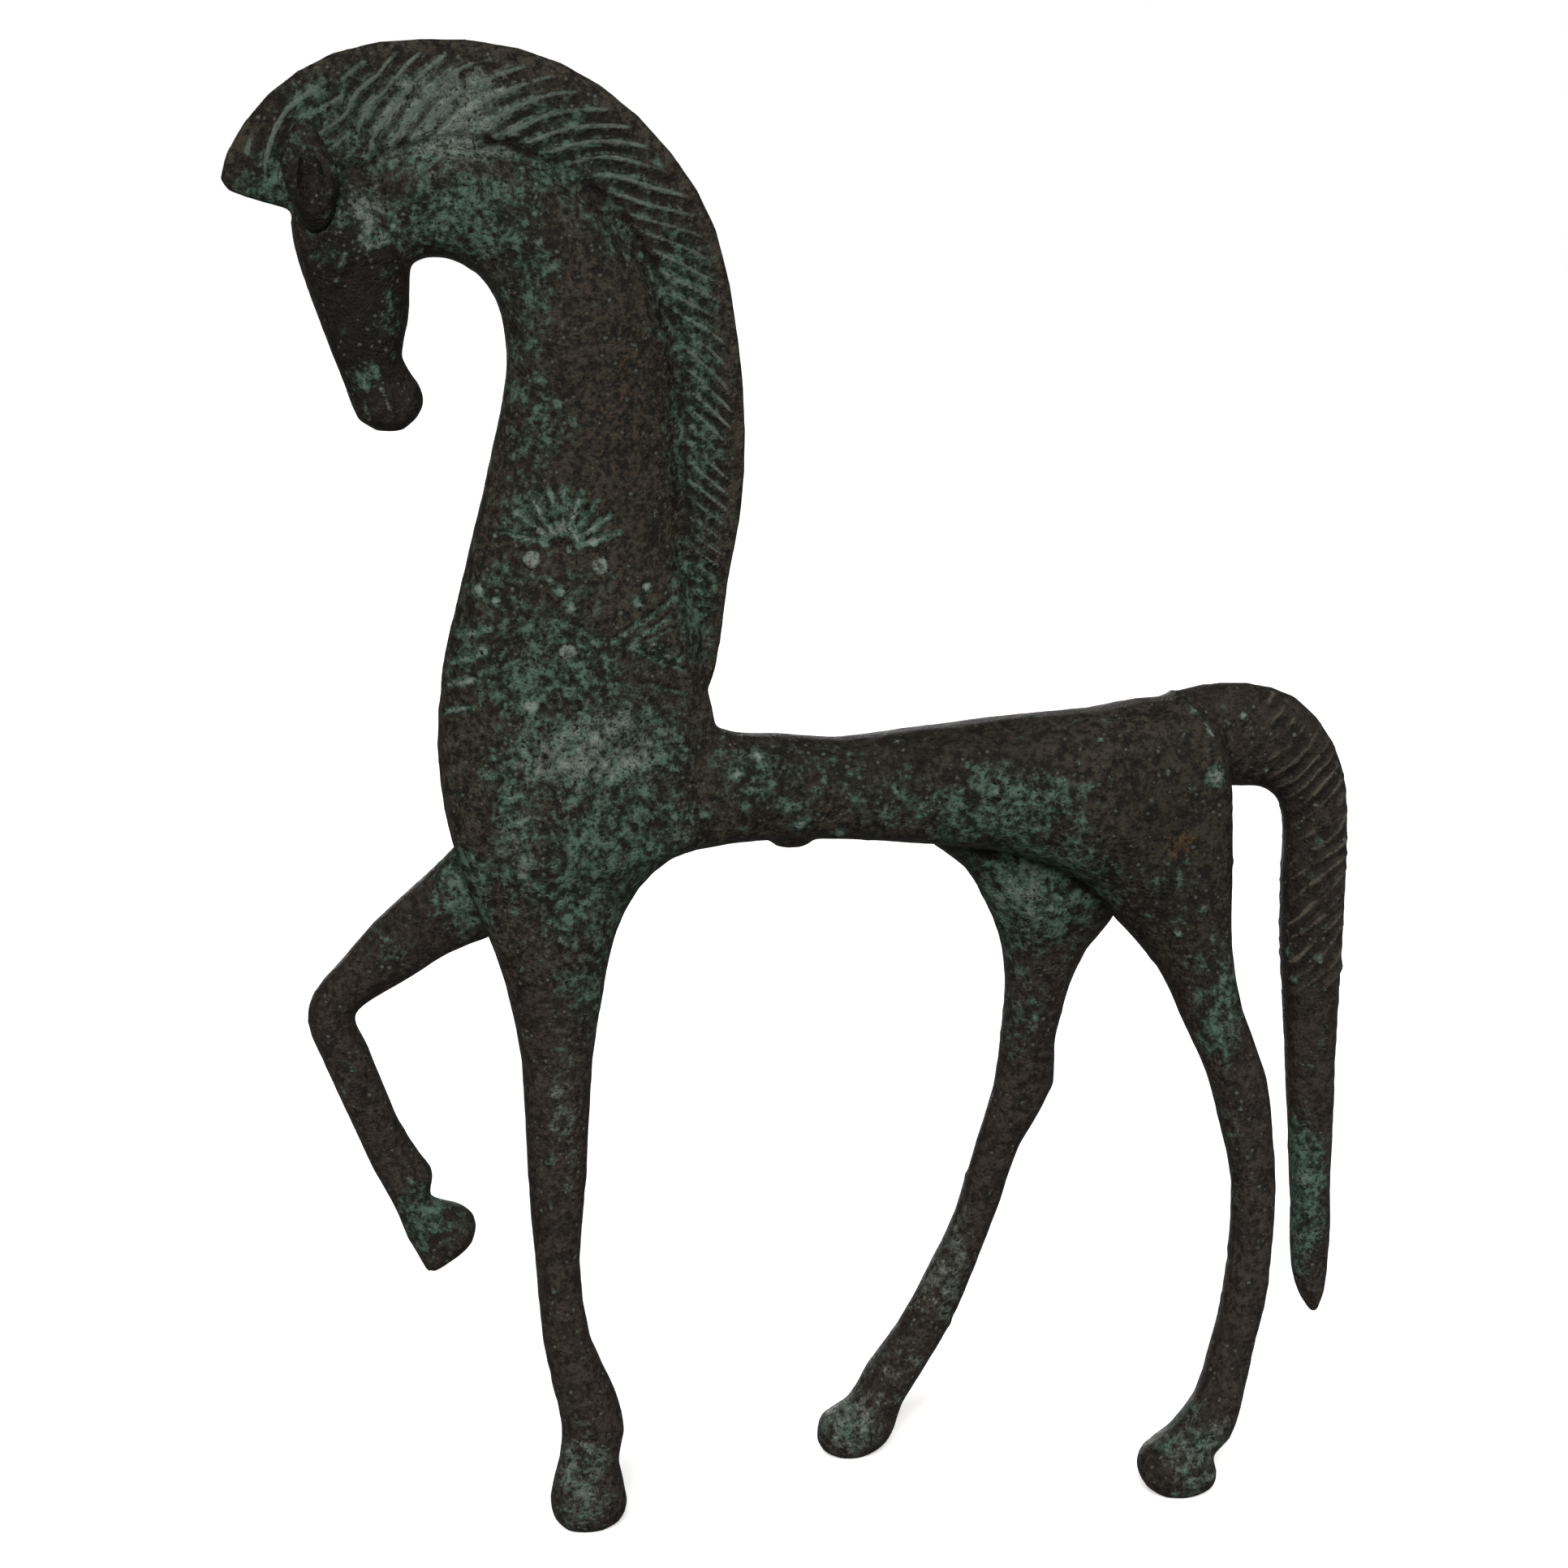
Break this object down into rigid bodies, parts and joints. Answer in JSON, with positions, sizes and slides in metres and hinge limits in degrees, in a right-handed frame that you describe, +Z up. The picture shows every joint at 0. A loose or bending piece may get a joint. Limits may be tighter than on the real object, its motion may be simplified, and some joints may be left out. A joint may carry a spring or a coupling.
{
  "type": "bronze horse statuette",
  "caption": "Green-patinated bronze horse with an arched neck, deep engraved crest, slim barrel and long legs, stepping with one forefoot raised.",
  "frame": {"origin": "middle of the figure's bounding footprint, on the surface the hooves stand on", "axes": "+Z up, the horse faces -X, its left side is -Y"},
  "size_m": [0.1502, 0.038, 0.2],
  "materials": {
    "green_bronze": "cast bronze under mottled green and grey-green verdigris, matte",
    "dark_bronze": "cast bronze with a dark brown patina and thin green spots, satin"
  },
  "bodies": {
    "root": {"trunk": "green_bronze", "neck": "green_bronze", "head": "dark_bronze", "mane_crest": "green_bronze", "ear_left": "dark_bronze", "ear_right": "dark_bronze", "foreleg_left": "dark_bronze", "foreleg_right": "dark_bronze", "hind_leg_left": "dark_bronze", "hind_leg_right": "dark_bronze", "tail": "dark_bronze"}
  },
  "joints": []
}
